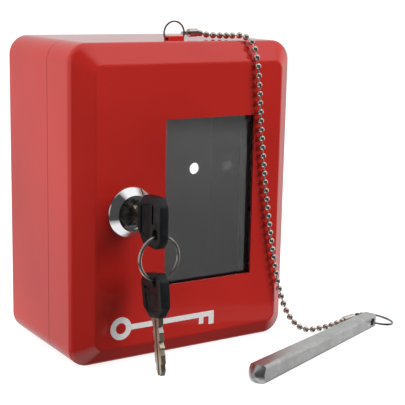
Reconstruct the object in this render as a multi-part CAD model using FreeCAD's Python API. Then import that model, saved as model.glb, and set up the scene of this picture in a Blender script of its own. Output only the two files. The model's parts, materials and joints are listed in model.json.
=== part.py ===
import FreeCAD, Part
import math
import os

# Emergency key box: a pressed steel box and door with a glass window, a cam lock with two keys
# on a ring, and a breaker bar on a ball chain.  Millimetres, +Z up, the door faces -Y.
# The origin is the middle of the underside of the box.

# ---- driving dimensions -------------------------------------------------------------------
WIDTH = 120.0
HEIGHT = 150.0
DEPTH = 76.0
SHEET = 1.2
CORNER_R = 9.5
SEAM_Y = -7.35            # parting line between the box and the door
SEAM_GAP = 0.3
BACK_EDGE_R = 2.0

BEVEL_WIDTH = 9.4         # sloped border round the raised front panel
BEVEL_DEPTH = 8.0
SHOULDER_R = 4.0
CREASE_R = 2.0
PANEL_CORNER_R = 4.5

WINDOW_X = 10.2
WINDOW_Z = 75.6
WINDOW_W = 49.4
WINDOW_H = 79.0

WALL_HOLE_D = 6.4
WALL_HOLE_X = 48.0
WALL_HOLE_Z = 76.0

GLASS_T = 2.0
GLASS_LAP = 3.1           # how far the pane reaches past the window on each side
GLASS_GAP = 0.5           # from the door sheet to the pane
RAIL_T = 0.8
RAIL_LIP = 2.2

LOCK_X = -32.6
LOCK_Z = 73.5
BEZEL_R = 11.8
LOCK_BARREL_R = 9.2
LOCK_BORE_R = 6.55
PLUG_R = 6.5
CAM_REACH = 24.0
CAM_W = 10.0
CAM_T = 2.0

BOW_LENGTH = 20.0
BOW_HEIGHT = 23.4
BOW_T = 4.7
BLADE_LENGTH = 26.0
BLADE_W = 8.0
BLADE_T = 2.2
TANG_LENGTH = 9.0
BOW_HOLE_R = 2.3
BOW_HOLE_ALONG = -16.0    # from the shoulder towards the end of the bow
BOW_HOLE_ACROSS = -4.8
KEY_SHOULDER_Y = -47.9
SPARE_KEY_TILT = 12.5     # the spare key hangs from an off-centre hole, so it leans
SPARE_KEY_TWIST = 8.0     # and it is turned a little on the ring
KEY_RING_R = 9.8
KEY_RING_WIRE = 1.4
RING_SEAT = 1.1           # from the middle of a bow's hole to the middle of the ring's wire

HINGE_X = 62.2
KNUCKLE_R = 2.0
HINGE_PIN_R = 1.0
HINGE_LENGTH = 20.0
HINGE_LEAF_T = 1.0
HINGE_BOTTOMS = {"lower": 18.0, "upper": 112.0}
RIVET_R = 1.5
BOX_RIVET_Y = 2.0
DOOR_RIVET_Y = -15.0

ANCHOR_X = 4.5            # slot and strap on top of the door that the chain is hooked to
ANCHOR_Y = -12.0
ANCHOR_RING_R = 5.6
ANCHOR_RING_Z = HEIGHT + 2.9
RING_WIRE = 1.1

CHAIN_D = 3.2
CHAIN_ROUTE = [
    (17.6, -11.6, 153.1), (22.2, -12.6, 152.5), (27.0, -16.0, 152.5), (31.0, -22.8, 153.5),
    (33.6, -31.0, 155.2), (34.6, -38.6, 151.0), (34.3, -41.7, 142.8), (34.9, -40.9, 131.5),
    (36.3, -40.6, 117.0), (38.3, -40.4, 98.5), (40.7, -40.5, 80.0), (43.5, -40.6, 61.5),
    (46.9, -40.7, 43.5), (51.0, -41.0, 26.0), (57.0, -41.6, 11.0), (66.5, -42.4, 2.0),
    (78.5, -42.9, 1.8), (88.5, -41.6, 1.8), (95.8, -40.0, 2.4),
]

BAR_TIP = (3.0, -87.65)
BAR_ANGLE = 20.95
BAR_LENGTH = 111.9
BAR_TIP_SIDE = 8.8
BAR_END_SIDE = 7.2
BAR_EDGE_R = 1.5
BAR_END_R = 0.8
BAR_HOLE_R = 1.9
BAR_HOLE_FROM_END = 4.2
BAR_RING_R = 9.6
BAR_RING_TILT = 8.2       # its far side dips to the floor
BAR_RING_ROLL = 5.5       # and the coupling lifts its left side
COUPLING_AT = 130.0       # round the bar's ring, from its far side to the coupling

# ---- worked out from the dimensions above ---------------------------------------------------
FRONT_Y = -DEPTH / 2
BACK_Y = DEPTH / 2
BOX_FRONT_Y = SEAM_Y + SEAM_GAP / 2
DOOR_BACK_Y = SEAM_Y - SEAM_GAP / 2
SHEET_INSIDE_Y = FRONT_Y + SHEET
X_AXIS = FreeCAD.Vector(1, 0, 0)
Y_AXIS = FreeCAD.Vector(0, 1, 0)
Z_AXIS = FreeCAD.Vector(0, 0, 1)


# ---- shapes used by several pieces ----------------------------------------------------------
def block(x0, x1, y0, y1, z0, z1):
    return Part.makeBox(x1 - x0, y1 - y0, z1 - z0, FreeCAD.Vector(x0, y0, z0))


def rod(start, end, radius):
    start = FreeCAD.Vector(*start)
    axis = FreeCAD.Vector(*end) - start
    return Part.makeCylinder(radius, axis.Length, start, axis)


def torus(centre, axis, ring_radius, wire_radius):
    return Part.makeTorus(ring_radius, wire_radius, FreeCAD.Vector(*centre), axis)


def rounded_outline(width, height, radius, y, middle_z):
    """Rounded rectangle in the XZ plane, centred on x = 0."""
    half_w = width / 2
    half_h = height / 2
    edges = []
    corners = [(1, 1, 0), (-1, 1, 90), (-1, -1, 180), (1, -1, 270)]
    arcs = []
    for side_x, side_z, start in corners:
        cx = side_x * (half_w - radius)
        cz = middle_z + side_z * (half_h - radius)
        points = []
        for angle in (start, start + 45, start + 90):
            turn = math.radians(angle)
            points.append(FreeCAD.Vector(cx + radius * math.cos(turn), y, cz + radius * math.sin(turn)))
        arcs.append(points)
    for index, points in enumerate(arcs):
        edges.append(Part.Arc(*points).toShape())
        following = arcs[(index + 1) % len(arcs)]
        edges.append(Part.LineSegment(points[2], following[0]).toShape())
    return Part.Wire(edges)


def slab(width, height, radius, y0, y1, middle_z=HEIGHT / 2):
    face = Part.Face(rounded_outline(width, height, radius, y0, middle_z))
    return face.extrude(FreeCAD.Vector(0, y1 - y0, 0))


def edges_at_y(shape, y):
    found = []
    for edge in shape.Edges:
        if all(abs(vertex.Y - y) < 1e-4 for vertex in edge.Vertexes):
            found.append(edge)
    return found


def revolved_along_y(profile, x, z):
    """Solid of revolution about a line along Y; the profile is a list of (radius, y)."""
    points = [FreeCAD.Vector(x + radius, y, z) for radius, y in profile]
    face = Part.Face(Part.makePolygon(points + points[:1]))
    return face.revolve(FreeCAD.Vector(x, 0, z), Y_AXIS, 360)


# ---- box ------------------------------------------------------------------------------------
def make_rear_box():
    outer = slab(WIDTH, HEIGHT, CORNER_R, BOX_FRONT_Y, BACK_Y)
    outer = outer.makeFillet(BACK_EDGE_R, edges_at_y(outer, BACK_Y))
    inner = slab(WIDTH - 2 * SHEET, HEIGHT - 2 * SHEET, CORNER_R - SHEET, BOX_FRONT_Y, BACK_Y - SHEET)
    inner = inner.makeFillet(BACK_EDGE_R - SHEET, edges_at_y(inner, BACK_Y - SHEET))
    shell = outer.cut(inner)
    for x in (-WALL_HOLE_X, WALL_HOLE_X):
        shell = shell.cut(rod((x, BACK_Y - 3, WALL_HOLE_Z), (x, BACK_Y + 1, WALL_HOLE_Z), WALL_HOLE_D / 2))
    return shell.cut(rivet_holes(BOX_RIVET_Y))


def make_door_stop_frame():
    """Angle frame in the mouth of the box: a flange the cam latches behind and a lip into the door."""
    flange_w = 9.0
    lip_gap = 0.6
    lip_t = 1.0
    lip_reach = 3.0
    flange_y0 = SEAM_Y + 1.8
    flange_y1 = flange_y0 + 1.0
    wall = SHEET
    flange = slab(WIDTH - 2 * wall, HEIGHT - 2 * wall, CORNER_R - wall, flange_y0, flange_y1)
    inset = wall + flange_w
    hole = slab(WIDTH - 2 * inset, HEIGHT - 2 * inset, 3.0, flange_y0 - 1, flange_y1 + 1)
    outer = wall + lip_gap
    inner = outer + lip_t
    lip_y = SEAM_Y - lip_reach
    lip = slab(WIDTH - 2 * outer, HEIGHT - 2 * outer, CORNER_R - outer, lip_y, flange_y1)
    core = slab(WIDTH - 2 * inner, HEIGHT - 2 * inner, CORNER_R - inner, lip_y - 1, flange_y1 + 1)
    return flange.cut(hole).fuse(lip.cut(core)).removeSplitter()


def make_key_hook():
    """Peg on the back wall for the key that the box keeps."""
    x = 0.0
    z = 112.0
    wall_y = BACK_Y - SHEET
    plate = rod((x, wall_y, z), (x, wall_y - 1.2, z), 5.0)
    peg = rod((x, wall_y, z), (x, wall_y - 13.0, z), 1.25)
    tip = rod((x, wall_y - 12.0, z), (x, wall_y - 12.0, z + 5.0), 1.25)
    return plate.fuse([peg, tip]).removeSplitter()


# ---- door -----------------------------------------------------------------------------------
def door_form(inset):
    """Tray with a sloped border; inset 0 gives the outside and the sheet's thickness the inside."""
    slope = math.atan2(BEVEL_DEPTH, BEVEL_WIDTH)
    width = WIDTH - 2 * inset
    height = HEIGHT - 2 * inset
    radius = CORNER_R - inset
    front = FRONT_Y + inset
    border = BEVEL_WIDTH + inset * (math.tan(slope / 2) - 1)
    shoulder_y = front + border * math.tan(slope)
    panel_radius = PANEL_CORNER_R - inset / 2
    side = slab(width, height, radius, shoulder_y, DOOR_BACK_Y)
    wide = rounded_outline(width, height, radius, shoulder_y, HEIGHT / 2)
    narrow = rounded_outline(width - 2 * border, height - 2 * border, panel_radius, front, HEIGHT / 2)
    cap = Part.makeLoft([wide, narrow], True, True)
    form = side.fuse(cap).removeSplitter()
    form = form.makeFillet(SHOULDER_R - inset, edges_at_y(form, shoulder_y))
    return form.makeFillet(CREASE_R - inset, edges_at_y(form, front))


def anchor_strap():
    """Bridge pressed up from the top of the door, with the slot that its ring passes through."""
    half_w = 2.7
    half_l = 3.9
    tunnel = 1.2
    roof_z = HEIGHT + 1.7
    strap = block(ANCHOR_X - half_l, ANCHOR_X + half_l, ANCHOR_Y - half_w, ANCHOR_Y + half_w, HEIGHT - SHEET, roof_z)
    strap = strap.makeFillet(0.6, [e for e in strap.Edges if all(v.Z > roof_z - 0.01 for v in e.Vertexes)])
    half_slot = 6.0
    slot = block(ANCHOR_X - half_slot, ANCHOR_X + half_slot, ANCHOR_Y - tunnel, ANCHOR_Y + tunnel,
                 HEIGHT - 2 * SHEET, roof_z - 0.9)
    return strap, slot


def make_door_shell():
    shell = door_form(0.0).cut(door_form(SHEET))
    window = block(WINDOW_X - WINDOW_W / 2, WINDOW_X + WINDOW_W / 2, FRONT_Y - 1, SHEET_INSIDE_Y + 1,
                   WINDOW_Z - WINDOW_H / 2, WINDOW_Z + WINDOW_H / 2)
    lock_hole = rod((LOCK_X, FRONT_Y - 1, LOCK_Z), (LOCK_X, SHEET_INSIDE_Y + 1, LOCK_Z), LOCK_BARREL_R + 0.15)
    strap, slot = anchor_strap()
    return shell.fuse(strap).cut(slot).cut(window).cut(lock_hole).cut(rivet_holes(DOOR_RIVET_Y)).removeSplitter()


# ---- hinges ---------------------------------------------------------------------------------
def rivet_heights(bottom):
    return (bottom + 5.0, bottom + HINGE_LENGTH - 5.0)


def rivet_holes(y):
    holes = []
    for bottom in HINGE_BOTTOMS.values():
        for z in rivet_heights(bottom):
            holes.append(rod((WIDTH / 2 - 3, y, z), (WIDTH / 2 + 3, y, z), RIVET_R + 0.05))
    return Part.makeCompound(holes)


def make_hinge_leaf(bottom, side):
    """One leaf of a hinge; side is 1 for the box (towards +Y) and -1 for the door."""
    third = HINGE_LENGTH / 3
    play = 0.15
    reach = 12.0
    relief = KNUCKLE_R + 0.4
    outer = WIDTH / 2 + HINGE_LEAF_T
    far = SEAM_Y + side * reach
    near = SEAM_Y + side * relief
    leaf = block(WIDTH / 2, outer, min(near, far), max(near, far), bottom, bottom + HINGE_LENGTH)
    if side > 0:
        spans = [(bottom, bottom + third - play), (bottom + 2 * third + play, bottom + HINGE_LENGTH)]
    else:
        spans = [(bottom + third + play, bottom + 2 * third - play)]
    for z0, z1 in spans:
        knuckle = rod((HINGE_X, SEAM_Y, z0), (HINGE_X, SEAM_Y, z1), KNUCKLE_R)
        neck = block(WIDTH / 2, outer, min(SEAM_Y, near), max(SEAM_Y, near), z0, z1)
        leaf = leaf.fuse([knuckle, neck])
    bore_r = HINGE_PIN_R if side > 0 else HINGE_PIN_R + 0.06
    bore = rod((HINGE_X, SEAM_Y, bottom - 1), (HINGE_X, SEAM_Y, bottom + HINGE_LENGTH + 1), bore_r)
    rivet_y = BOX_RIVET_Y if side > 0 else DOOR_RIVET_Y
    return leaf.cut(bore).cut(rivet_holes(rivet_y)).removeSplitter()


def make_hinge_pin(bottom):
    pin = rod((HINGE_X, SEAM_Y, bottom), (HINGE_X, SEAM_Y, bottom + HINGE_LENGTH), HINGE_PIN_R)
    head = rod((HINGE_X, SEAM_Y, bottom + HINGE_LENGTH), (HINGE_X, SEAM_Y, bottom + HINGE_LENGTH + 0.8), 1.7)
    return pin.fuse(head).removeSplitter()


def make_rivets(y):
    rivets = []
    wall = WIDTH / 2 - SHEET
    leaf = WIDTH / 2 + HINGE_LEAF_T
    for bottom in HINGE_BOTTOMS.values():
        for z in rivet_heights(bottom):
            shank = rod((wall, y, z), (leaf, y, z), RIVET_R)
            head = rod((leaf, y, z), (leaf + 0.9, y, z), 2.7)
            head = head.makeFillet(0.6, [e for e in head.Edges if e.Vertexes[0].X > leaf + 0.8])
            tail = rod((wall - 0.8, y, z), (wall, y, z), 2.3)
            rivets.append(shank.fuse([head, tail]).removeSplitter())
    return Part.makeCompound(rivets)


# ---- glass ----------------------------------------------------------------------------------
GLASS_X0 = WINDOW_X - WINDOW_W / 2 - GLASS_LAP
GLASS_X1 = WINDOW_X + WINDOW_W / 2 + GLASS_LAP
GLASS_Z0 = WINDOW_Z - WINDOW_H / 2 - GLASS_LAP
GLASS_Z1 = WINDOW_Z + WINDOW_H / 2 + GLASS_LAP
GLASS_Y0 = SHEET_INSIDE_Y + GLASS_GAP
GLASS_Y1 = GLASS_Y0 + GLASS_T
RAIL_Y1 = GLASS_Y1 + 0.5 + RAIL_T


def make_glass_pane():
    return block(GLASS_X0, GLASS_X1, GLASS_Y0, GLASS_Y1, GLASS_Z0, GLASS_Z1)


def make_side_rail(side):
    """Angle strip that holds one upright edge of the pane; side is -1 for left and 1 for right."""
    edge = GLASS_X0 if side < 0 else GLASS_X1
    wall_in = edge + side * 0.3
    wall_out = wall_in + side * RAIL_T
    lip_in = edge - side * RAIL_LIP
    z0 = GLASS_Z0 + 3.0
    wall = block(min(wall_in, wall_out), max(wall_in, wall_out), SHEET_INSIDE_Y, RAIL_Y1, z0, GLASS_Z1)
    lip = block(min(lip_in, wall_out), max(lip_in, wall_out), RAIL_Y1 - RAIL_T, RAIL_Y1, z0, GLASS_Z1)
    return wall.fuse(lip).removeSplitter()


def make_bottom_rail():
    z_wall = GLASS_Z0 - 0.3
    wall = block(GLASS_X0, GLASS_X1, SHEET_INSIDE_Y, RAIL_Y1, z_wall - RAIL_T, z_wall)
    lip = block(GLASS_X0, GLASS_X1, RAIL_Y1 - RAIL_T, RAIL_Y1, z_wall - RAIL_T, GLASS_Z0 + RAIL_LIP)
    return wall.fuse(lip).removeSplitter()


# ---- lock -----------------------------------------------------------------------------------
BARREL_END_Y = -9.0
PLUG_FACE_Y = FRONT_Y - 2.2
CAM_Y0 = SEAM_Y + 3.2
CAM_Y1 = CAM_Y0 + CAM_T


def make_lock_body():
    profile = [
        (LOCK_BORE_R, FRONT_Y - 1.4), (7.5, FRONT_Y - 1.4), (7.9, FRONT_Y - 4.0), (8.5, FRONT_Y - 4.0),
        (BEZEL_R - 0.3, FRONT_Y - 0.9), (BEZEL_R, FRONT_Y - 0.5), (BEZEL_R, FRONT_Y),
        (LOCK_BARREL_R, FRONT_Y), (LOCK_BARREL_R, BARREL_END_Y), (LOCK_BORE_R, BARREL_END_Y),
    ]
    return revolved_along_y(profile, LOCK_X, LOCK_Z)


def make_lock_washer():
    y0 = SHEET_INSIDE_Y
    ring = rod((LOCK_X, y0, LOCK_Z), (LOCK_X, y0 + 1.0, LOCK_Z), 12.2)
    return ring.cut(rod((LOCK_X, y0 - 1, LOCK_Z), (LOCK_X, y0 + 2, LOCK_Z), LOCK_BARREL_R + 0.1))


def make_lock_nut():
    y0 = SHEET_INSIDE_Y + 1.0
    thickness = 4.0
    corner_r = 13.0
    corners = []
    for index in range(7):
        turn = math.radians(60 * index + 30)
        corners.append(FreeCAD.Vector(LOCK_X + corner_r * math.cos(turn), y0, LOCK_Z + corner_r * math.sin(turn)))
    hexagon = Part.Face(Part.makePolygon(corners)).extrude(FreeCAD.Vector(0, thickness, 0))
    return hexagon.cut(rod((LOCK_X, y0 - 1, LOCK_Z), (LOCK_X, y0 + thickness + 1, LOCK_Z), LOCK_BARREL_R + 0.02))


def make_lock_plug():
    profile = [
        (0, PLUG_FACE_Y), (PLUG_R - 0.6, PLUG_FACE_Y), (PLUG_R, PLUG_FACE_Y + 0.6), (PLUG_R, BARREL_END_Y),
        (4.4, BARREL_END_Y), (4.4, CAM_Y0), (0, CAM_Y0),
    ]
    plug = revolved_along_y(profile, LOCK_X, LOCK_Z)
    square = 2.9
    stub = block(LOCK_X - square, LOCK_X + square, CAM_Y0, CAM_Y1, LOCK_Z - square, LOCK_Z + square)
    half_t = BLADE_T / 2 + 0.12
    half_w = BLADE_W / 2 + 0.15
    keyway_end = KEY_SHOULDER_Y + BLADE_LENGTH + 1.0
    keyway = block(LOCK_X - half_t, LOCK_X + half_t, PLUG_FACE_Y - 1, keyway_end, LOCK_Z - half_w, LOCK_Z + half_w)
    return plug.fuse(stub).removeSplitter().cut(keyway)


def make_lock_cam():
    """Flat cam on the square of the plug, pointing down while the lock is open."""
    eye = rod((LOCK_X, CAM_Y0, LOCK_Z), (LOCK_X, CAM_Y1, LOCK_Z), 7.5)
    half_w = CAM_W / 2
    arm = block(LOCK_X - half_w, LOCK_X + half_w, CAM_Y0, CAM_Y1, LOCK_Z - CAM_REACH + half_w, LOCK_Z)
    tip = rod((LOCK_X, CAM_Y0, LOCK_Z - CAM_REACH + half_w), (LOCK_X, CAM_Y1, LOCK_Z - CAM_REACH + half_w), half_w)
    square = 2.95
    hole = block(LOCK_X - square, LOCK_X + square, CAM_Y0 - 1, CAM_Y1 + 1, LOCK_Z - square, LOCK_Z + square)
    return eye.fuse([arm, tip]).removeSplitter().cut(hole)


def make_cam_screw():
    head = rod((LOCK_X, CAM_Y1 + 0.6, LOCK_Z), (LOCK_X, CAM_Y1 + 2.8, LOCK_Z), 3.4)
    head = head.makeFillet(0.8, edges_at_y(head, CAM_Y1 + 2.8))
    shank = rod((LOCK_X, CAM_Y1, LOCK_Z), (LOCK_X, CAM_Y1 + 0.6, LOCK_Z), 1.9)
    slot = block(LOCK_X - 0.4, LOCK_X + 0.4, CAM_Y1 + 1.9, CAM_Y1 + 3, LOCK_Z - 4, LOCK_Z + 4)
    return head.fuse(shank).removeSplitter().cut(slot)


def make_cam_washer():
    disc = rod((LOCK_X, CAM_Y1, LOCK_Z), (LOCK_X, CAM_Y1 + 0.6, LOCK_Z), 5.2)
    return disc.cut(rod((LOCK_X, CAM_Y1 - 1, LOCK_Z), (LOCK_X, CAM_Y1 + 1, LOCK_Z), 1.95))


# ---- keys -----------------------------------------------------------------------------------
# A key's own frame: the shoulder at the origin, the blade along +Y, the bow along -Y,
# flat in the YZ plane and centred on x = 0.
def key_blade_form():
    outline = [(-TANG_LENGTH, 3.0), (0, 3.0), (0, 4.0)]
    bitting = [1.4, 0.5, 1.7, 0.9, 0.3, 1.2]
    pitch = 3.4
    first = 4.0
    for index, cut in enumerate(bitting):
        y = first + index * pitch
        outline.append((y - 0.9, BLADE_W / 2 - 0.1))
        outline.append((y, BLADE_W / 2 - cut))
    outline.append((BLADE_LENGTH - 2.2, BLADE_W / 2 - 1.0))
    outline.append((BLADE_LENGTH, 1.4))
    mirrored = [(y, -z) for y, z in reversed(outline)]
    points = [FreeCAD.Vector(-BLADE_T / 2, y, z) for y, z in outline + mirrored]
    blade = Part.Face(Part.makePolygon(points + points[:1])).extrude(FreeCAD.Vector(BLADE_T, 0, 0))
    groove_depth = 0.5
    for side in (-1, 1):
        outer = side * BLADE_T / 2
        inner = outer - side * groove_depth
        groove = block(min(outer, inner), max(outer, inner), 0.5, BLADE_LENGTH + 1, -0.9, 0.9)
        blade = blade.cut(groove)
    return blade


def key_bow_form():
    half_h = BOW_HEIGHT / 2
    outline = [(0, 5.0), (-5.0, half_h - 0.6), (-BOW_LENGTH + 3.5, half_h), (-BOW_LENGTH, half_h - 4.0)]
    mirrored = [(y, -z) for y, z in reversed(outline)]
    points = [FreeCAD.Vector(-BOW_T / 2, y, z) for y, z in outline + mirrored]
    bow = Part.Face(Part.makePolygon(points + points[:1])).extrude(FreeCAD.Vector(BOW_T, 0, 0))
    upright = [e for e in bow.Edges if abs(e.Vertexes[0].X - e.Vertexes[1].X) > 1]
    bow = bow.makeFillet(1.8, upright)
    rims = [e for e in bow.Edges if abs(e.Vertexes[0].X - e.Vertexes[-1].X) < 0.01]
    bow = bow.makeFillet(0.5, rims)
    hole_start = (-BOW_T, BOW_HOLE_ALONG, BOW_HOLE_ACROSS)
    bow = bow.cut(rod(hole_start, (BOW_T, BOW_HOLE_ALONG, BOW_HOLE_ACROSS), BOW_HOLE_R))
    tang = block(-BLADE_T / 2, BLADE_T / 2, -TANG_LENGTH, 1, -3.0, 3.0)
    return bow.cut(tang)


KEY_HOLE_Y = KEY_SHOULDER_Y + BOW_HOLE_ALONG
KEY_HOLE_Z = LOCK_Z + BOW_HOLE_ACROSS
RING_TOP_Z = KEY_HOLE_Z - RING_SEAT
RING_MIDDLE_Z = RING_TOP_Z - KEY_RING_R
RING_FOOT_Z = RING_MIDDLE_Z - KEY_RING_R


def in_lock(shape):
    placed = shape.copy()
    placed.translate(FreeCAD.Vector(LOCK_X, KEY_SHOULDER_Y, LOCK_Z))
    return placed


def on_ring(shape):
    """Hangs a key by its hole from the foot of the ring, with the blade down."""
    placed = shape.copy()
    placed.translate(FreeCAD.Vector(0, -BOW_HOLE_ALONG, -BOW_HOLE_ACROSS))
    placed.rotate(FreeCAD.Vector(0, 0, 0), X_AXIS, -(90 + SPARE_KEY_TILT))
    placed.rotate(FreeCAD.Vector(0, 0, 0), Z_AXIS, -SPARE_KEY_TWIST)
    placed.translate(FreeCAD.Vector(LOCK_X, KEY_HOLE_Y, RING_FOOT_Z - RING_SEAT))
    return placed


def make_key_ring():
    return torus((LOCK_X, KEY_HOLE_Y, RING_MIDDLE_Z), Y_AXIS, KEY_RING_R, KEY_RING_WIRE / 2)


# ---- breaker bar ----------------------------------------------------------------------------
def along_bar(distance, across=0.0, height=0.0):
    """Point by its distance from the bar's tip, its offset to the left of it and its height."""
    turn = math.radians(BAR_ANGLE)
    x = BAR_TIP[0] + distance * math.cos(turn) - across * math.sin(turn)
    y = BAR_TIP[1] + distance * math.sin(turn) + across * math.cos(turn)
    return FreeCAD.Vector(x, y, height)


def bar_section(distance, side):
    corners = [along_bar(distance, across, height)
               for across, height in ((-side / 2, 0), (side / 2, 0), (side / 2, side), (-side / 2, side))]
    return Part.makePolygon(corners + corners[:1])


def make_striker_bar():
    """Tapered square bar lying on the floor, with a blunt cone at one end and a cross hole at the other."""
    bar = Part.makeLoft([bar_section(0, BAR_TIP_SIDE), bar_section(BAR_LENGTH, BAR_END_SIDE)], True, True)
    long_edges = [e for e in bar.Edges if e.Length > BAR_LENGTH * 0.9]
    bar = bar.makeFillet(BAR_EDGE_R, long_edges)
    far_end = along_bar(BAR_LENGTH, 0, BAR_END_SIDE / 2)
    end_edges = [e for e in bar.Edges if e.CenterOfMass.distanceToPoint(far_end) < BAR_END_SIDE]
    bar = bar.makeFillet(BAR_END_R, end_edges)
    direction = along_bar(1) - along_bar(0)
    middle = BAR_TIP_SIDE / 2
    cone_length = 6.0
    cone = Part.makeCone(1.3, 1.3 + cone_length, cone_length, along_bar(0, 0, middle), direction)
    rest = Part.makeCylinder(1.3 + cone_length, BAR_LENGTH, along_bar(cone_length, 0, middle), direction)
    bar = bar.common(cone.fuse(rest))
    hole_at = BAR_LENGTH - BAR_HOLE_FROM_END
    across = along_bar(hole_at, 1, 0) - along_bar(hole_at, 0, 0)
    hole = Part.makeCylinder(BAR_HOLE_R, 20, along_bar(hole_at, -10, BAR_END_SIDE / 2), across)
    return bar.cut(hole)


def bar_ring_frame():
    """Middle of the bar's ring and its two directions: outwards along the bar, and to the left."""
    tilt = math.radians(BAR_RING_TILT)
    roll = math.radians(BAR_RING_ROLL)
    hole = along_bar(BAR_LENGTH - BAR_HOLE_FROM_END, 0, BAR_END_SIDE / 2)
    ahead = along_bar(1) - along_bar(0)
    outwards = ahead * math.cos(tilt) + Z_AXIS * -math.sin(tilt)
    level = along_bar(0, 1) - along_bar(0)
    left = level * math.cos(roll) + outwards.cross(level) * math.sin(roll)
    return hole + outwards * BAR_RING_R, outwards, left


def make_striker_ring():
    middle, outwards, left = bar_ring_frame()
    return Part.makeTorus(BAR_RING_R, RING_WIRE / 2, middle, outwards.cross(left))


# ---- chain ----------------------------------------------------------------------------------
def make_coupling(eye, chain_end, wire_direction):
    """Chain connector: an eye round a ring's wire and a barrel that holds the chain's last ball."""
    eye_r = 1.7
    eye_t = 1.4
    barrel_r = 2.0
    axis = (chain_end - eye).normalize()
    disc_start = eye - wire_direction * (eye_t / 2)
    disc = Part.makeCylinder(eye_r, eye_t, disc_start, wire_direction)
    neck = Part.makeCylinder(0.9, 2.6, eye + axis * 1.2, axis)
    length = (chain_end - eye).Length - 2.4
    barrel = Part.makeCylinder(barrel_r, length, eye + axis * 2.4, axis)
    bore_start = eye - wire_direction * eye_t
    bore = Part.makeCylinder(0.85, 2 * eye_t, bore_start, wire_direction)
    return disc.fuse([neck, barrel]).removeSplitter().cut(bore)


def make_anchor_coupling():
    eye = FreeCAD.Vector(ANCHOR_X + ANCHOR_RING_R, ANCHOR_Y, ANCHOR_RING_Z)
    return make_coupling(eye, FreeCAD.Vector(*CHAIN_ROUTE[0]), Z_AXIS)


def make_striker_coupling():
    middle, outwards, left = bar_ring_frame()
    turn = math.radians(COUPLING_AT)
    radial = outwards * math.cos(turn) + left * math.sin(turn)
    tangent = left * math.cos(turn) - outwards * math.sin(turn)
    eye = middle + radial * BAR_RING_R
    return make_coupling(eye, FreeCAD.Vector(*CHAIN_ROUTE[-1]), tangent.normalize())


def cord_path(route):
    """Straight runs joined by tangent arcs, each as large as its two runs allow."""
    points = [FreeCAD.Vector(*p) for p in route]
    edges = []
    radii = []
    reached = points[0]
    for before, corner, after in zip(points, points[1:], points[2:]):
        into = (corner - before).normalize()
        out = (after - corner).normalize()
        half_turn = into.getAngle(out) / 2
        cut = 0.45 * min((corner - before).Length, (after - corner).Length)
        radius = cut / math.tan(half_turn)
        radii.append(radius)
        start = corner - into * cut
        end = corner + out * cut
        inward = (out - into).normalize()
        middle = corner + inward * (radius / math.cos(half_turn) - radius)
        edges.append(Part.LineSegment(reached, start).toShape())
        edges.append(Part.Arc(start, middle, end).toShape())
        reached = end
    edges.append(Part.LineSegment(reached, points[-1]).toShape())
    return Part.Wire(edges), radii


def make_ball_chain():
    path, radii = cord_path(CHAIN_ROUTE)
    start = FreeCAD.Vector(*CHAIN_ROUTE[0])
    heading = FreeCAD.Vector(*CHAIN_ROUTE[1]) - start
    circle = Part.Wire(Part.Circle(start, heading, CHAIN_D / 2).toShape())
    pipe = Part.BRepOffsetAPI.MakePipeShell(path)
    pipe.setFrenetMode(False)
    pipe.add(circle, False, False)
    pipe.build()
    pipe.makeSolid()
    tube = pipe.shape()
    expected = math.pi * (CHAIN_D / 2) ** 2 * path.Length
    print("chain length", round(path.Length, 2), "radii", [round(r, 1) for r in radii])
    print("chain volume", round(tube.Volume, 1), "section x length", round(expected, 1))
    return tube


# ---- all the pieces -------------------------------------------------------------------------
def build():
    pieces = {
        "rear_box": make_rear_box(),
        "door_stop_frame": make_door_stop_frame(),
        "key_hook": make_key_hook(),
        "hinge_rivets_box": make_rivets(BOX_RIVET_Y),
        "door_shell": make_door_shell(),
        "hinge_rivets_door": make_rivets(DOOR_RIVET_Y),
        "glass_pane": make_glass_pane(),
        "glass_rail_left": make_side_rail(-1),
        "glass_rail_right": make_side_rail(1),
        "glass_rail_bottom": make_bottom_rail(),
        "lock_body": make_lock_body(),
        "lock_washer": make_lock_washer(),
        "lock_nut": make_lock_nut(),
        "lock_plug": make_lock_plug(),
        "lock_cam": make_lock_cam(),
        "cam_washer": make_cam_washer(),
        "cam_screw": make_cam_screw(),
        "key_blade": in_lock(key_blade_form()),
        "key_bow": in_lock(key_bow_form()),
        "key_ring": make_key_ring(),
        "spare_key_blade": on_ring(key_blade_form()),
        "spare_key_bow": on_ring(key_bow_form()),
        "chain_anchor_ring": torus((ANCHOR_X, ANCHOR_Y, ANCHOR_RING_Z), Y_AXIS, ANCHOR_RING_R, RING_WIRE / 2),
        "chain_coupling_door": make_anchor_coupling(),
        "ball_chain": make_ball_chain(),
        "chain_coupling_striker": make_striker_coupling(),
        "striker_ring": make_striker_ring(),
        "striker_bar": make_striker_bar(),
    }
    for place, bottom in HINGE_BOTTOMS.items():
        pieces["hinge_leaf_box_" + place] = make_hinge_leaf(bottom, 1)
        pieces["hinge_leaf_door_" + place] = make_hinge_leaf(bottom, -1)
        pieces["hinge_pin_" + place] = make_hinge_pin(bottom)
    return pieces


os.makedirs("parts", exist_ok=True)
for name, shape in sorted(build().items()):
    box = shape.BoundBox
    low = (round(box.XMin, 2), round(box.YMin, 2), round(box.ZMin, 2))
    high = (round(box.XMax, 2), round(box.YMax, 2), round(box.ZMax, 2))
    print(name, "valid", shape.isValid(), "solids", len(shape.Solids), low, high)
    shape.exportStep("parts/" + name + ".step")
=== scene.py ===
import json
import math

import bmesh
import bpy
from mathutils import Matrix, Vector


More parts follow.
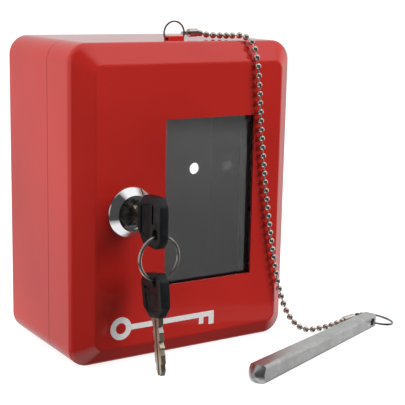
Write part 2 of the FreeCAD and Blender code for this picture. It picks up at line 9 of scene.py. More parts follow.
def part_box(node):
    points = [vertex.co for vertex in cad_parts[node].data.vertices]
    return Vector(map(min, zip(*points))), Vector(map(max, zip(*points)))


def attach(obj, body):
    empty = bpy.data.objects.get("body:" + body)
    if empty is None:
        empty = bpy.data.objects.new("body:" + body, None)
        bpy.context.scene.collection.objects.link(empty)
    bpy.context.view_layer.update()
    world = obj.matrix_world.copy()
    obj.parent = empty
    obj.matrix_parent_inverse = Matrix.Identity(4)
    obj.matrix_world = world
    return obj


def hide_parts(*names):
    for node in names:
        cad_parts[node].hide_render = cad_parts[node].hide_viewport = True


# Looks of the emergency key box: enamelled box and door, glass, lock, keys, breaker bar and bead
# chain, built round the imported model.  Metres, +Z up, the door faces -Y.

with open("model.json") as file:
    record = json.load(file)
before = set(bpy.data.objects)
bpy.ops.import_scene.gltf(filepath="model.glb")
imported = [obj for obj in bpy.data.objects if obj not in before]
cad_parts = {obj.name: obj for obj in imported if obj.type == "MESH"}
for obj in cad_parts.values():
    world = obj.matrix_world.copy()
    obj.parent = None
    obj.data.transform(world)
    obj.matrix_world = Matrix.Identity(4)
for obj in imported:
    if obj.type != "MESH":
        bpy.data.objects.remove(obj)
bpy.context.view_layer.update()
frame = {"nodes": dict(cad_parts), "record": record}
MM = 0.001

# ---- camera and studio ----------------------------------------------------------------------
CAMERA_PLACE = (-0.26328, -0.45689, 0.17757)
CAMERA_TURN = 32.741      # degrees from +Y towards +X
CAMERA_TILT = -11.697
CAMERA_ROLL = 1.235
CAMERA_LENS = 94.98

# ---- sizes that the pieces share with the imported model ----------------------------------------
CHAIN_D = 3.2 * MM
BEAD_PITCH = 4.37 * MM
SLACK_BEADS = 6           # where the chain lies slack on the top the beads crowd together
SLACK_PITCH = 3.35 * MM
CHAIN_ROUTE = [           # mm, from the coupling on the door to the one on the bar
    (17.6, -11.6, 153.1), (22.2, -12.6, 152.0), (27.0, -15.0, 151.8), (31.4, -20.8, 151.9),
    (33.7, -28.8, 152.6), (34.9, -35.2, 149.2), (34.1, -40.2, 141.4), (34.9, -40.7, 131.5),
    (36.3, -40.6, 117.0), (38.3, -40.4, 98.5), (40.7, -40.5, 80.0), (43.5, -40.6, 61.5),
    (46.9, -40.7, 43.5), (51.0, -41.0, 26.0), (57.0, -41.6, 11.0), (66.5, -42.4, 2.0),
    (78.5, -42.9, 1.8), (88.5, -41.6, 1.8), (95.8, -40.0, 2.4),
]

LOCK_X = -32.6 * MM
LOCK_Z = 73.5 * MM
KEY_SHOULDER_Y = -47.9 * MM
BOW_LENGTH = 20.0 * MM
BOW_HEIGHT = 23.4 * MM
BOW_T = 4.7 * MM
BOW_HOLE_R = 2.3 * MM
BOW_HOLE_ALONG = -16.0 * MM
BOW_HOLE_ACROSS = -4.8 * MM
SPARE_KEY_TILT = 12.5     # all angles are in degrees
SPARE_KEY_TWIST = 8.0
RING_SEAT = 1.1 * MM
BAR_ANGLE = 20.95
BAR_RING_TILT = 8.2
BAR_RING_ROLL = 5.5
BAR_RING_R = 9.6 * MM
BAR_RING_WIRE = 1.08 * MM
KEY_RING_WIRE = 1.4 * MM
ANCHOR_RING_WIRE = 0.8 * MM


# ---- meshes ---------------------------------------------------------------------------------
def add_object(name, mesh, material, sharp_angle=35):
    mesh.polygons.foreach_set("use_smooth", [True] * len(mesh.polygons))
    mesh.set_sharp_from_angle(angle=math.radians(sharp_angle))
    mesh.materials.clear()
    mesh.materials.append(material)
    piece = bpy.data.objects.new(name, mesh)
    bpy.context.scene.collection.objects.link(piece)
    return piece


def mesh_from(bm, name):
    bmesh.ops.recalc_face_normals(bm, faces=bm.faces)
    mesh = bpy.data.meshes.new(name)
    bm.to_mesh(mesh)
    bm.free()
    return mesh


def skin(bm, loops, capped=True):
    """Closed loops of points, joined one to the next by quads, with a face over each end."""
    rings = [[bm.verts.new(point) for point in loop] for loop in loops]
    for ring, following in zip(rings, rings[1:]):
        for index in range(len(ring)):
            after = (index + 1) % len(ring)
            bm.faces.new((ring[index], ring[after], following[after], following[index]))
    if capped:
        bm.faces.new(rings[0])
        bm.faces.new(reversed(rings[-1]))


def across(axis):
    """Two directions square to an axis and to each other."""
    side = axis.cross(Vector((0, 0, 1)))
    if side.length < 0.1:
        side = axis.cross(Vector((1, 0, 0)))
    side.normalize()
    return side, axis.cross(side).normalized()


def turned_profile(centre, axis, profile, segments):
    """Loops of a turned shape; the profile is a list of (distance along the axis, radius)."""
    side, other = across(axis)
    loops = []
    for along, radius in profile:
        loop = []
        for index in range(segments):
            turn = 2 * math.pi * index / segments
            spoke = side * math.cos(turn) + other * math.sin(turn)
            loop.append(centre + axis * along + spoke * radius)
        loops.append(loop)
    return loops


def evaluated_mesh(piece):
    graph = bpy.context.evaluated_depsgraph_get()
    return bpy.data.meshes.new_from_object(piece.evaluated_get(graph))


def remove(piece):
    bpy.data.objects.remove(piece, do_unlink=True)


# ---- node helpers for the materials -----------------------------------------------------------
class Shader:
    """A Principled material and short ways to add the nodes that vary it."""

    def __init__(self, name, **settings):
        self.material = bpy.data.materials.new(name)
        self.material.use_nodes = True
        self.tree = self.material.node_tree
        self.surface = self.tree.nodes["Principled BSDF"]
        self.place = self.node("ShaderNodeTexCoord").outputs["Object"]
        for socket, value in settings.items():
            self.surface.inputs[socket.replace("_", " ")].default_value = value

    def node(self, kind, **properties):
        made = self.tree.nodes.new(kind)
        for key, value in properties.items():
            setattr(made, key, value)
        return made

    def link(self, output, target):
        self.tree.links.new(output, target)

    def stretched(self, scale, turn=(0, 0, 0)):
        mapping = self.node("ShaderNodeMapping")
        mapping.inputs["Rotation"].default_value = turn
        mapping.inputs["Scale"].default_value = scale
        self.link(self.place, mapping.inputs["Vector"])
        return mapping.outputs["Vector"]

    def noise(self, scale, detail=3.0, roughness=0.5, where=None):
        noise = self.node("ShaderNodeTexNoise")
        noise.inputs["Scale"].default_value = scale
        noise.inputs["Detail"].default_value = detail
        noise.inputs["Roughness"].default_value = roughness
        self.link(where or self.place, noise.inputs["Vector"])
        return noise.outputs["Fac"]

    def spread(self, value, low, high, start=0.3, end=0.7):
        """Maps start..end of a noise to low..high."""
        spread = self.node("ShaderNodeMapRange")
        for socket, number in zip(("From Min", "From Max", "To Min", "To Max"), (start, end, low, high)):
            spread.inputs[socket].default_value = number
        self.link(value, spread.inputs["Value"])
        return spread.outputs["Result"]

    def math(self, operation, first, second):
        made = self.node("ShaderNodeMath", operation=operation)
        for socket, value in zip(made.inputs, (first, second)):
            if isinstance(value, (int, float)):
                socket.default_value = value
            else:
                self.link(value, socket)
        return made.outputs["Value"]

    def colours(self, value, stops):
        """Colour ramp; stops are (position, (r, g, b))."""
        ramp = self.node("ShaderNodeValToRGB")
        elements = ramp.color_ramp.elements
        for index, (position, colour) in enumerate(stops):
            element = elements[index] if index < 2 else elements.new(position)
            element.position = position
            element.color = (*colour, 1.0)
        self.link(value, ramp.inputs["Fac"])
        return ramp.outputs["Color"]

    def blend(self, factor, first, second):
        mix = self.node("ShaderNodeMix", data_type="RGBA")
        self.link(factor, mix.inputs["Factor"])
        for socket, value in ((mix.inputs["A"], first), (mix.inputs["B"], second)):
            if isinstance(value, tuple):
                socket.default_value = (*value, 1.0)
            else:
                self.link(value, socket)
        return mix.outputs["Result"]

    def bump(self, *layers):
        """Bumps on bumps; each layer is (height, strength, distance in metres)."""
        normal = None
        for height, strength, distance in layers:
            bump = self.node("ShaderNodeBump")
            bump.inputs["Strength"].default_value = strength
            bump.inputs["Distance"].default_value = distance
            self.link(height, bump.inputs["Height"])
            if normal:
                self.link(normal, bump.inputs["Normal"])
            normal = bump.outputs["Normal"]
        self.link(normal, self.surface.inputs["Normal"])

    def set(self, socket, value):
        self.link(value, self.surface.inputs[socket])


# ---- materials ------------------------------------------------------------------------------
def three_noises(name, tint, shades, gloss, grain, **settings):
    """One noise tints the material between two shades, one varies its gloss, one raises a grain."""
    shader = Shader(name, **settings)
    darker, lighter = shades
    shader.set("Base Color", shader.colours(shader.noise(*tint), [(0.3, darker), (0.7, lighter)]))
    gloss_scale, smoothest, roughest = gloss
    shader.set("Roughness", shader.spread(shader.noise(gloss_scale), smoothest, roughest))
    grain_scale, strength, distance = grain
    shader.bump((shader.noise(grain_scale), strength, distance))
    return shader.material


RED_DEEP = (0.49, 0.019, 0.014)
RED_BRIGHT = (0.61, 0.027, 0.020)
LINER_DARK = (0.100, 0.052, 0.062)
LINER_LIGHT = (0.128, 0.067, 0.079)
BOX_MIDDLE = (0.0, 0.015, 0.075)
DOOR_MIDDLE = (0.0, -0.022, 0.075)
DOOR_SHEET_INSIDE_Y = -0.0370
ANY_Y = -1.0              # further forward than the whole object
ROOF_Z = 0.1495           # what stands above this is outside, such as the strap for the chain


def enamel_colour(shader):
    cloud = shader.noise(14.0, 2.0)
    return shader.colours(cloud, [(0.3, RED_DEEP), (0.7, RED_BRIGHT)])


def enamel_finish(shader):
    """Orange peel, a few dust nibs and faint wipe marks in gloss enamel."""
    peel = shader.noise(420.0, 2.0)
    nibs = shader.spread(shader.noise(900.0, 1.0), 0.0, 1.0, 0.74, 0.80)
    wiped = shader.noise(30.0, 3.0, where=shader.stretched((1.0, 1.0, 0.25)))
    shader.set("Roughness", shader.spread(wiped, 0.045, 0.11))
    shader.bump((peel, 0.10, 0.0004), (nibs, 0.25, 0.00005))


def red_enamel():
    shader = Shader("red_enamel")
    shader.set("Base Color", enamel_colour(shader))
    enamel_finish(shader)
    return shader.material


def pressed_shell(name, middle, sheet_inside_y, roof_z):
    """Red enamel outside and dark primer on the faces that look inwards, below the roof."""
    shader = Shader(name)
    facing = shader.node("ShaderNodeTexCoord").outputs["Normal"]
    offset = shader.node("ShaderNodeVectorMath", operation="SUBTRACT")
    shader.link(shader.place, offset.inputs[0])
    offset.inputs[1].default_value = middle
    outwards = shader.node("ShaderNodeVectorMath", operation="DOT_PRODUCT")
    shader.link(facing, outwards.inputs[0])
    shader.link(offset.outputs["Vector"], outwards.inputs[1])
    split = shader.node("ShaderNodeSeparateXYZ")
    shader.link(shader.place, split.inputs[0])
    inward = shader.math("LESS_THAN", outwards.outputs["Value"], 0.0)
    behind = shader.math("GREATER_THAN", split.outputs["Y"], sheet_inside_y)
    under = shader.math("LESS_THAN", split.outputs["Z"], roof_z)
    inside = shader.math("MULTIPLY", shader.math("MULTIPLY", inward, behind), under)
    primer = shader.colours(shader.noise(60.0), [(0.3, LINER_DARK), (0.7, LINER_LIGHT)])
    shader.set("Base Color", shader.blend(inside, enamel_colour(shader), primer))
    enamel_finish(shader)
    return shader.material


def dark_liner():
    return three_noises(
        "dark_liner", tint=(60.0,), shades=(LINER_DARK, LINER_LIGHT),
        gloss=(90.0, 0.42, 0.58), grain=(900.0, 0.15, 0.0001), Specular_IOR_Level=0.3)


def zinc_plate():
    return three_noises(
        "zinc_plate", tint=(160.0, 4.0, 0.6), shades=((0.50, 0.51, 0.52), (0.70, 0.69, 0.66)),
        gloss=(300.0, 0.26, 0.44), grain=(1200.0, 0.12, 0.0001), Metallic=1.0)


def nickel_plate():
    return three_noises(
        "nickel_plate", tint=(350.0, 3.0), shades=((0.58, 0.54, 0.50), (0.76, 0.73, 0.69)),
        gloss=(700.0, 0.12, 0.26), grain=(2500.0, 0.10, 0.00005), Metallic=1.0)


def ring_wire():
    """Duller, greyer plate of the two rings that hold the chain."""
    return three_noises(
        "ring_wire", tint=(350.0, 3.0), shades=((0.32, 0.29, 0.27), (0.50, 0.47, 0.45)),
        gloss=(700.0, 0.16, 0.30), grain=(2500.0, 0.10, 0.00005), Metallic=1.0)


def chain_nickel():
    return three_noises(
        "chain_nickel", tint=(260.0, 2.0), shades=((0.62, 0.56, 0.51), (0.80, 0.75, 0.70)),
        gloss=(900.0, 0.08, 0.20), grain=(3000.0, 0.10, 0.00004), Metallic=1.0)


def lock_chrome():
    return three_noises(
        "lock_chrome", tint=(120.0, 3.0), shades=((0.80, 0.80, 0.82), (0.88, 0.88, 0.89)),
        gloss=(500.0, 0.03, 0.09), grain=(1800.0, 0.05, 0.00004), Metallic=1.0)


def plug_metal():
    """Turned face: fine rings round the middle of the lock."""
    shader = Shader("plug_metal", Metallic=1.0)
    shift = shader.node("ShaderNodeMapping")
    shift.inputs["Location"].default_value = (-LOCK_X, 0.0, -LOCK_Z)
    shader.link(shader.place, shift.inputs["Vector"])
    rings = shader.node("ShaderNodeTexWave", wave_type="RINGS", rings_direction="Y")
    rings.inputs["Scale"].default_value = 900.0
    rings.inputs["Distortion"].default_value = 0.6
    shader.link(shift.outputs["Vector"], rings.inputs["Vector"])
    grime = shader.noise(420.0, 4.0)
    shader.set("Base Color", shader.colours(grime, [(0.35, (0.10, 0.09, 0.09)), (0.65, (0.42, 0.41, 0.41))]))
    shader.set("Roughness", shader.spread(grime, 0.22, 0.42))
    shader.bump((rings.outputs["Fac"], 0.20, 0.00005))
    return shader.material


def key_metal():
    """Nickel silver with milled streaks along the blade and a warmer worn tone."""
    shader = Shader("key_metal", Metallic=1.0)
    streaks = shader.noise(500.0, 3.0, where=shader.stretched((1.0, 0.25, 0.25)))
    tone = shader.noise(180.0, 2.0)
    warm = shader.colours(streaks, [(0.3, (0.62, 0.50, 0.34)), (0.7, (0.86, 0.75, 0.57))])
    cool = shader.colours(streaks, [(0.3, (0.60, 0.56, 0.50)), (0.7, (0.84, 0.80, 0.74))])
    shader.set("Base Color", shader.blend(shader.spread(tone, 0.0, 1.0, 0.4, 0.6), warm, cool))
    shader.set("Roughness", shader.spread(streaks, 0.30, 0.50))
    shader.bump((streaks, 0.25, 0.0001))
    return shader.material


def key_plastic():
    return three_noises(
        "key_plastic", tint=(220.0, 3.0), shades=((0.007, 0.008, 0.009), (0.016, 0.017, 0.018)),
        gloss=(500.0, 0.34, 0.52), grain=(2600.0, 0.18, 0.00006), Specular_IOR_Level=0.3)


def ground_steel():
    """Ground square bar: fine grain along its length, blotches and a few cross scratches."""
    shader = Shader("ground_steel", Metallic=1.0)
    turn = (0.0, 0.0, -math.radians(BAR_ANGLE))
    grain = shader.noise(1400.0, 3.0, where=shader.stretched((0.02, 1.0, 1.0), turn))
    blotch = shader.noise(110.0, 4.0, 0.6)
    scratch = shader.noise(600.0, 2.0, where=shader.stretched((1.0, 0.12, 0.12), turn))
    colour = shader.colours(blotch, [(0.3, (0.56, 0.57, 0.56)), (0.7, (0.70, 0.71, 0.70))])
    dull = shader.spread(scratch, 0.0, 0.35, 0.62, 0.72)
    shader.set("Base Color", shader.blend(dull, colour, (0.40, 0.40, 0.40)))
    shader.set("Roughness", shader.spread(grain, 0.30, 0.48))
    shader.bump((grain, 0.22, 0.00008), (scratch, 0.12, 0.00006))
    return shader.material


def window_glass():
    shader = Shader("window_glass", Transmission_Weight=1.0, IOR=1.5, Base_Color=(0.93, 0.95, 0.95, 1.0))
    shader.set("Roughness", shader.spread(shader.noise(40.0, 4.0), 0.0, 0.008))
    shader.bump((shader.noise(25.0, 1.0), 0.005, 0.0002))
    return shader.material


def white_ink():
    """Screen-printed white, a little uneven."""
    shader = Shader("white_ink", Coat_Weight=0.3, Coat_Roughness=0.2)
    cover = shader.noise(900.0, 3.0)
    shader.set("Base Color", shader.colours(cover, [(0.3, (0.88, 0.84, 0.83)), (0.6, (0.96, 0.95, 0.94))]))
    shader.set("Roughness", shader.spread(cover, 0.40, 0.55))
    shader.bump((cover, 0.15, 0.00003))
    return shader.material


def pale_floor():
    shader = Shader("pale_floor", Specular_IOR_Level=0.1, Emission_Strength=0.75)
    shader.surface.inputs["Emission Color"].default_value = (1.0, 1.0, 1.0, 1.0)
    greys = [(0.3, (0.60, 0.60, 0.60)), (0.7, (0.64, 0.64, 0.64))]
    shader.set("Base Color", shader.colours(shader.noise(6.0), greys))
    shader.set("Roughness", shader.spread(shader.noise(20.0), 0.7, 0.8))
    return shader.material


# ---- studio ---------------------------------------------------------------------------------
def make_camera():
    turn, tilt, roll = (math.radians(angle) for angle in (CAMERA_TURN, CAMERA_TILT, CAMERA_ROLL))
    ahead = Vector((math.sin(turn) * math.cos(tilt), math.cos(turn) * math.cos(tilt), math.sin(tilt)))
    level = Vector((math.cos(turn), -math.sin(turn), 0.0))
    above = level.cross(ahead)
    right = level * math.cos(roll) + above * math.sin(roll)
    up = above * math.cos(roll) - level * math.sin(roll)
    data = bpy.data.cameras.new("camera")
    data.lens = CAMERA_LENS
    data.clip_start = 0.01
    camera = bpy.data.objects.new("camera", data)
    bpy.context.scene.collection.objects.link(camera)
    facing = Matrix((right, up, -ahead)).transposed().to_4x4()
    camera.matrix_world = Matrix.Translation(CAMERA_PLACE) @ facing
    bpy.context.scene.camera = camera


def make_softbox(name, place, aim, size, power):
    data = bpy.data.lights.new(name, "AREA")
    data.shape = "RECTANGLE"
    data.size, data.size_y = size
    data.energy = power
    light = bpy.data.objects.new(name, data)
    bpy.context.scene.collection.objects.link(light)
    light.location = place
    light.rotation_mode = "QUATERNION"
    light.rotation_quaternion = (Vector(aim) - Vector(place)).to_track_quat("-Z", "Y")
    light.visible_glossy = False


def make_world():
    """White sweep behind the object, white cards over, beside and below it, a dark room in front."""
    world = bpy.data.worlds.new("studio")
    world.use_nodes = True
    tree = world.node_tree
    towards = tree.nodes.new("ShaderNodeTexCoord").outputs["Generated"]

    def facing(direction, low, high, dark, bright):
        """Rises from dark to bright as rays turn from low to high towards the direction."""
        share = tree.nodes.new("ShaderNodeVectorMath")
        share.operation = "DOT_PRODUCT"
        share.inputs[1].default_value = direction
        tree.links.new(towards, share.inputs[0])
        level = tree.nodes.new("ShaderNodeMapRange")
        for socket, number in (("From Min", low), ("From Max", high), ("To Min", dark), ("To Max", bright)):
            level.inputs[socket].default_value = number
        tree.links.new(share.outputs["Value"], level.inputs["Value"])
        return level.outputs["Result"]

    def brighter_of(first, second):
        made = tree.nodes.new("ShaderNodeMath")
        made.operation = "MAXIMUM"
        tree.links.new(first, made.inputs[0])
        tree.links.new(second, made.inputs[1])
        return made.outputs["Value"]

    level = facing((0.25, 0.85, 0.46), -0.05, 0.25, 0.07, 0.68)
    level = brighter_of(level, facing((0.30, -0.20, 0.93), 0.75, 0.95, 0.0, 1.10))
    level = brighter_of(level, facing((1.00, 0.00, 0.00), 0.84, 0.93, 0.0, 0.90))
    level = brighter_of(level, facing((-0.98, 0.15, 0.10), 0.85, 0.95, 0.0, 0.80))
    level = brighter_of(level, facing((-0.35, -0.10, -0.93), 0.75, 0.95, 0.0, 1.00))
    level = brighter_of(level, tree.nodes.new("ShaderNodeLightPath").outputs["Is Camera Ray"])
    background = tree.nodes["Background"]
    tree.links.new(level, background.inputs["Strength"])
    background.inputs["Color"].default_value = (1.0, 1.0, 1.0, 1.0)
    bpy.context.scene.world = world


def make_studio():
    bpy.context.scene.view_settings.view_transform = "Standard"
    make_camera()
    make_world()
    make_softbox("key_light", (0.36, -0.64, 0.42), (0.02, 0.0, 0.07), (0.60, 0.60), 4.9)
    make_softbox("side_light", (-1.05, 0.35, 0.40), (0.0, 0.0, 0.06), (0.6, 0.6), 9.0)
    bm = bmesh.new()
    bmesh.ops.create_grid(bm, x_segments=1, y_segments=1, size=6.0)
    floor = add_object("floor", mesh_from(bm, "floor"), pale_floor())
    floor.visible_glossy = False
    floor.visible_diffuse = False


# ---- chain ----------------------------------------------------------------------------------
def smooth_line(route):
    """Points along the NURBS curve whose control points are the route."""
    data = bpy.data.curves.new("route", "CURVE")
    data.dimensions = "3D"
    data.resolution_u = 24
    spline = data.splines.new("NURBS")
    spline.points.add(len(route) - 1)
    for point, place in zip(spline.points, route):
        point.co = (*(coordinate * MM for coordinate in place), 1.0)
    spline.order_u = 3
    spline.use_endpoint_u = True
    guide = bpy.data.objects.new("route", data)
    bpy.context.scene.collection.objects.link(guide)
    bpy.context.view_layer.update()
    line = [vertex.co.copy() for vertex in evaluated_mesh(guide).vertices]
    remove(guide)
    return line


def along_line(line, distances):
    """Points at these distances along a line of points; the distances rise."""
    found = []
    walked = 0.0
    index = 0
    for distance in distances:
        step = (line[index + 1] - line[index]).length
        while walked + step < distance and index < len(line) - 2:
            walked += step
            index += 1
            step = (line[index + 1] - line[index]).length
        found.append(line[index].lerp(line[index + 1], (distance - walked) / step))
    return found


def bead_profile(radius, mouth):
    """A ball with an open mouth at each end, as (distance along the axis, radius)."""
    lip = math.asin(mouth / radius)
    profile = []
    for step in range(13):
        angle = lip + (math.pi - 2 * lip) * step / 12
        profile.append((-radius * math.cos(angle), radius * math.sin(angle)))
    return profile


def make_chain(metal):
    line = smooth_line(CHAIN_ROUTE)
    length = sum((b - a).length for a, b in zip(line, line[1:]))
    radius = CHAIN_D / 2
    mouth = 0.5 * MM
    waist = 0.36 * MM
    slack = SLACK_PITCH * (SLACK_BEADS - 1)
    taut = length - 2 * radius - slack
    steps = round(taut / BEAD_PITCH)
    distances = [radius + SLACK_PITCH * index for index in range(SLACK_BEADS)]
    distances += [radius + slack + taut * step / steps for step in range(1, steps + 1)]
    beads = along_line(line, distances)
    profile = bead_profile(radius, mouth)
    bm = bmesh.new()
    for index, bead in enumerate(beads):
        before = beads[max(index - 1, 0)]
        after = beads[min(index + 1, len(beads) - 1)]
        skin(bm, turned_profile(bead, (after - before).normalized(), profile, 20))
    for bead, following in zip(beads, beads[1:]):
        axis = following - bead
        reach = axis.length
        link = [(radius * 0.9, waist), (reach / 2, waist), (reach - radius * 0.9, waist)]
        skin(bm, turned_profile(bead, axis.normalized(), link, 10))
    chain = add_object("bead_chain", mesh_from(bm, "bead_chain"), metal, 50)
    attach(chain, "door")
    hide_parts("ball_chain")


# ---- split rings ----------------------------------------------------------------------------
def split_ring_mesh(name, centre, axis, start, radius, wire):
    """Two turns of wire side by side, with one step across where a turn passes to the next."""
    side = axis.cross(start).normalized()
    half_deep = wire * 0.47
    half_wide = half_deep * 0.53
    shift = wire * 0.265      # each turn lies this far to its side of the middle
    turns = 2
    steps = 72 * turns
    gap = math.radians(8)
    step_at = 2 * math.pi
    step_half = math.radians(16)
    loops = []
    for index in range(steps + 1):
        angle = gap + (2 * math.pi * turns - 2 * gap) * index / steps
        passed = min(1.0, max(0.0, (angle - step_at + step_half) / (2 * step_half)))
        eased = passed * passed * (3 - 2 * passed)
        spoke = start * math.cos(angle) + side * math.sin(angle)
        middle = centre + spoke * radius + axis * (shift * (2 * eased - 1))
        loop = []
        for corner in range(12):
            turn = 2 * math.pi * corner / 12
            outwards = spoke * (half_deep * math.cos(turn))
            loop.append(middle + outwards + axis * (half_wide * math.sin(turn)))
        loops.append(loop)
    bm = bmesh.new()
    skin(bm, loops)
    return mesh_from(bm, name)


def make_split_rings(bright, dull):
    rings = (
        ("key_ring", "key_ring", (0.6, 0, 0.8), bright, KEY_RING_WIRE),
        ("chain_anchor_ring", "door", (-0.8, 0, -0.6), dull, ANCHOR_RING_WIRE),
    )
    for node, body, start, metal, wire in rings:
        low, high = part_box(node)
        radius = (high.x - low.x - high.y + low.y) / 2
        start = Vector(start).normalized()
        mesh = split_ring_mesh(node + "_coil", (low + high) / 2, Vector((0, 1, 0)), start, radius, wire)
        ring = add_object(node + "_coil", mesh, metal)
        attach(ring, body)
        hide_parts(node)
    turn = math.radians(BAR_ANGLE)
    tilt = math.radians(BAR_RING_TILT)
    roll = math.radians(BAR_RING_ROLL)
    ahead = Vector((math.cos(turn), math.sin(turn), 0.0))
    level = Vector((-math.sin(turn), math.cos(turn), 0.0))
    outwards = ahead * math.cos(tilt) - Vector((0, 0, math.sin(tilt)))
    left = level * math.cos(roll) + outwards.cross(level) * math.sin(roll)
    low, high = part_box("striker_ring")
    middle = (low + high) / 2
    axis = outwards.cross(left)
    mesh = split_ring_mesh("striker_ring_coil", middle, axis, left, BAR_RING_R, BAR_RING_WIRE)
    ring = add_object("striker_ring_coil", mesh, dull)
    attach(ring, "door")
    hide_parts("striker_ring")


# ---- keys -----------------------------------------------------------------------------------
def rounded_outline(corners, radius, steps=5):
    """A closed outline with each corner rounded off; points are pairs."""
    points = []
    count = len(corners)
    for index in range(count):
        corner = Vector(corners[index])
        before = (Vector(corners[index - 1]) - corner).normalized()
        after = (Vector(corners[(index + 1) % count]) - corner).normalized()
        half = before.angle(after) / 2
        reach = radius / math.tan(half)
        middle = corner + (before + after).normalized() * (radius / math.sin(half))
        start = corner + before * reach - middle
        end = corner + after * reach - middle
        for step in range(steps + 1):
            share = step / steps
            points.append(middle + start.slerp(end, share).normalized() * radius)
    return points


def plate_loops(outline, layers):
    """Loops of an outline in the YZ plane; layers are (x, inset towards the outline's middle)."""
    middle = sum(outline, Vector((0, 0))) / len(outline)
    loops = []
    for x, inset in layers:
        loop = []
        for point in outline:
            inwards = middle - point
            moved = point + inwards.normalized() * inset
            loop.append(Vector((x, moved.x, moved.y)))
        loops.append(loop)
    return loops


def solid(name, loops):
    bm = bmesh.new()
    skin(bm, loops)
    piece = bpy.data.objects.new(name, mesh_from(bm, name))
    bpy.context.scene.collection.objects.link(piece)
    return piece


def carve(piece, cutters):
    """Cuts the cutters out of a piece and softens the edges that they leave."""
    for cutter in cutters:
        cut = piece.modifiers.new("cut", "BOOLEAN")
        cut.operation = "DIFFERENCE"
        cut.solver = "EXACT"
        cut.object = cutter
    soften = piece.modifiers.new("soften", "BEVEL")
    soften.width = 0.18 * MM
    soften.segments = 2
    soften.limit_method = "ANGLE"
    soften.angle_limit = math.radians(50)
    bpy.context.view_layer.update()
    mesh = evaluated_mesh(piece)
    for cutter in cutters:
        remove(cutter)
    remove(piece)
    return mesh


def bow_mesh(name):
    """Moulded bow in the key's own frame: a rounded plate with a pocket and a groove on each side."""
    half_h = BOW_HEIGHT / 2
    half_t = BOW_T / 2
    upper = [(0.0, 5.0 * MM), (-5.0 * MM, half_h - 0.6 * MM),
             (-BOW_LENGTH + 3.5 * MM, half_h), (-BOW_LENGTH, half_h - 4.0 * MM)]
    lower = [(y, -z) for y, z in reversed(upper)]
    outline = rounded_outline(upper + lower, 2.8 * MM)
    rim = 0.6 * MM
    layers = [(-half_t, rim), (-half_t + rim * 0.3, rim * 0.3), (-half_t + rim, 0.0),
              (half_t - rim, 0.0), (half_t - rim * 0.3, rim * 0.3), (half_t, rim)]
    bow = solid(name, plate_loops(outline, layers))
    hole_at = Vector((0.0, BOW_HOLE_ALONG, BOW_HOLE_ACROSS))
    bore = [(-BOW_T, BOW_HOLE_R), (BOW_T, BOW_HOLE_R)]
    cutters = [solid("hole", turned_profile(hole_at, Vector((1, 0, 0)), bore, 32))]
    pocket = [(-3.0 * MM, 6.2 * MM), (-11.0 * MM, 8.2 * MM),
              (-11.0 * MM, -8.2 * MM), (-3.0 * MM, -6.2 * MM)]
    groove = [(-13.0 * MM, 7.8 * MM), (-14.2 * MM, 7.8 * MM),
              (-14.2 * MM, -1.0 * MM), (-13.0 * MM, -1.0 * MM)]
    for side in (-1, 1):
        for corners, radius, depth in ((pocket, 1.0 * MM, 0.7 * MM), (groove, 0.5 * MM, 0.8 * MM)):
            shape = rounded_outline(corners, radius)
            floor_to_open = [(side * (half_t - depth), 0.0), (side * BOW_T, 0.0)]
            cutters.append(solid("pocket", plate_loops(shape, floor_to_open)))
    return carve(bow, cutters)


def make_bows(plastic):
    hole_y = KEY_SHOULDER_Y + BOW_HOLE_ALONG
    ring_low, ring_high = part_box("key_ring")
    ring_foot = ring_low.z + (ring_high.y - ring_low.y) / 2
    in_lock = Matrix.Translation((LOCK_X, KEY_SHOULDER_Y, LOCK_Z))
    hung = Matrix.Translation((LOCK_X, hole_y, ring_foot - RING_SEAT))
    hung = hung @ Matrix.Rotation(-math.radians(SPARE_KEY_TWIST), 4, "Z")
    hung = hung @ Matrix.Rotation(-math.radians(90 + SPARE_KEY_TILT), 4, "X")
    hung = hung @ Matrix.Translation((0.0, -BOW_HOLE_ALONG, -BOW_HOLE_ACROSS))
    for node, body, place in (("key_bow", "key", in_lock), ("spare_key_bow", "spare_key", hung)):
        mesh = bow_mesh(node + "_moulding")
        mesh.transform(place)
        bow = add_object(node + "_moulding", mesh, plastic)
        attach(bow, body)
        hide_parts(node)


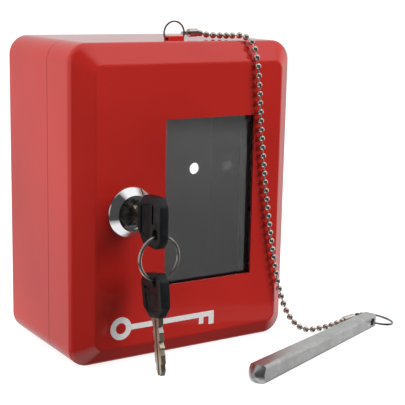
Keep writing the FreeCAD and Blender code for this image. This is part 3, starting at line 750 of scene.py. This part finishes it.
# ---- printed mark ---------------------------------------------------------------------------
def make_key_mark(ink):
    """Plain pictogram of a key printed low on the door."""
    face_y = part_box("door_shell")[0].y
    middle = Vector((-14.5 * MM, face_y, 18.6 * MM))
    height = 11.0 * MM
    length = 57.0 * MM
    bow_r = height / 2
    eye_r = bow_r * 0.48
    half_shaft = height * 0.12
    tooth = height * 0.30
    film = 0.04 * MM
    data = bpy.data.curves.new("mark", "CURVE")
    data.dimensions = "2D"
    data.fill_mode = "BOTH"
    data.extrude = film / 2
    bow_x = -length / 2 + bow_r
    start = math.asin(half_shaft / bow_r)
    outer = []
    for step in range(49):
        angle = start + (2 * math.pi - 2 * start) * step / 48
        outer.append((bow_x + bow_r * math.cos(angle), bow_r * math.sin(angle)))
    end = length / 2
    teeth = [(end - 2.6 * tooth, end - 1.8 * tooth, 1.0), (end - 0.9 * tooth, end, 1.25)]
    for x0, x1, deep in teeth:
        outer += [(x0, -half_shaft), (x0, -half_shaft - tooth * deep), (x1, -half_shaft - tooth * deep)]
        outer += [(x1, -half_shaft)] if x1 < end else []
    outer += [(end, half_shaft)]
    eye = [(bow_x + eye_r * math.cos(2 * math.pi * step / 32), eye_r * math.sin(2 * math.pi * step / 32))
           for step in range(32)]
    for outline in (outer, eye):
        spline = data.splines.new("POLY")
        spline.points.add(len(outline) - 1)
        spline.use_cyclic_u = True
        for point, (x, z) in zip(spline.points, outline):
            point.co = (x, z, 0.0, 1.0)
    guide = bpy.data.objects.new("mark", data)
    bpy.context.scene.collection.objects.link(guide)
    bpy.context.view_layer.update()
    mesh = evaluated_mesh(guide)
    remove(guide)
    on_the_face = Matrix.Translation(middle - Vector((0, film / 2, 0)))
    mesh.transform(on_the_face @ Matrix.Rotation(math.radians(90), 4, "X"))
    mark = add_object("key_mark", mesh, ink)
    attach(mark, "door")


# ---- everything -----------------------------------------------------------------------------
def finish_nodes(materials):
    """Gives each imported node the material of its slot; the two shells get one of their own."""
    own = {
        "rear_box": pressed_shell("red_enamel_box", BOX_MIDDLE, ANY_Y, ROOF_Z),
        "door_shell": pressed_shell("red_enamel_door", DOOR_MIDDLE, DOOR_SHEET_INSIDE_Y, ROOF_Z),
    }
    for part in frame["record"]["subparts"]:
        node = frame["nodes"][part["node"]]
        material = own.get(part["node"]) or materials[part["material_slot"]]
        node.data.materials.clear()
        node.data.materials.append(material)


make_studio()
slot_materials = {
    "red_paint": red_enamel(),
    "zinc_steel": zinc_plate(),
    "nickel_plate": nickel_plate(),
    "window_glass": window_glass(),
    "liner_paint": dark_liner(),
    "lock_chrome": lock_chrome(),
    "lock_plug_metal": plug_metal(),
    "key_metal": key_metal(),
    "key_plastic": key_plastic(),
    "chain_nickel": chain_nickel(),
    "striker_steel": ground_steel(),
}
make_chain(slot_materials["chain_nickel"])
make_split_rings(slot_materials["nickel_plate"], ring_wire())
make_bows(slot_materials["key_plastic"])
make_key_mark(white_ink())
finish_nodes(slot_materials)
